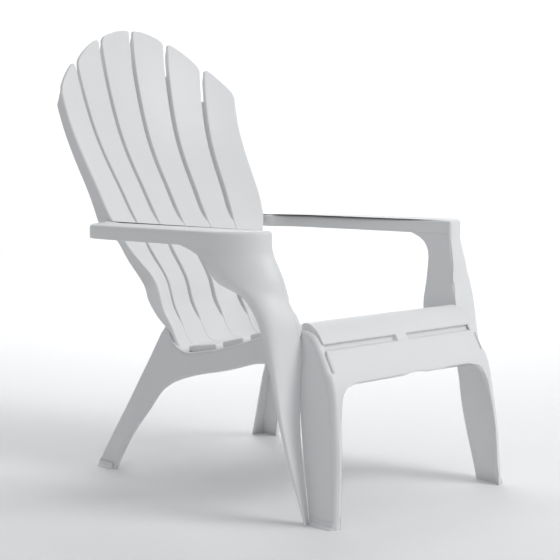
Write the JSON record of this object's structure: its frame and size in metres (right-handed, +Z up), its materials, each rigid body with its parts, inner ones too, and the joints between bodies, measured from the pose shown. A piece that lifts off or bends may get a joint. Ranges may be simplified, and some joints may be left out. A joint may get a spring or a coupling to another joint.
{
  "type": "adirondack chair",
  "caption": "One-piece moulded resin Adirondack chair with a fanned, hollowed slat back, a boarded seat that slopes to the rear, and broad flat arms.",
  "frame": {"origin": "on the floor at the centre of the footprint of the chair's bounding box", "axes": "+Z up, the sitter faces -Y, +X to the sitter's left"},
  "size_m": [0.686, 0.9057, 0.9476],
  "materials": {
    "resin": "satin moulded polypropylene with a very fine grain"
  },
  "bodies": {
    "root": {"arm_left": "resin", "arm_post_left": "resin", "arm_post_right": "resin", "arm_right": "resin", "fan_groove_webs": "resin", "fan_side_return_left": "resin", "fan_side_return_right": "resin", "fan_slat_1": "resin", "fan_slat_2": "resin", "fan_slat_3": "resin", "fan_slat_4": "resin", "fan_slat_5": "resin", "fan_slat_6": "resin", "front_apron": "resin", "front_foot_lip_left": "resin", "front_foot_lip_right": "resin", "front_leg_flange_left": "resin", "front_leg_flange_right": "resin", "front_leg_left": "resin", "front_leg_right": "resin", "lumbar_groove_webs": "resin", "lumbar_side_return_left": "resin", "lumbar_side_return_right": "resin", "lumbar_slat_1": "resin", "lumbar_slat_2": "resin", "lumbar_slat_3": "resin", "lumbar_slat_4": "resin", "lumbar_slat_5": "resin", "lumbar_slat_6": "resin", "rear_apron": "resin", "rear_foot_lip_left": "resin", "rear_foot_lip_right": "resin", "rear_leg_left": "resin", "rear_leg_right": "resin", "seat_pan": "resin", "seat_side_left": "resin", "seat_side_right": "resin", "seat_slat_fourth": "resin", "seat_slat_front": "resin", "seat_slat_rear": "resin", "seat_slat_second": "resin", "seat_slat_third": "resin", "waist_band": "resin"}
  },
  "joints": []
}
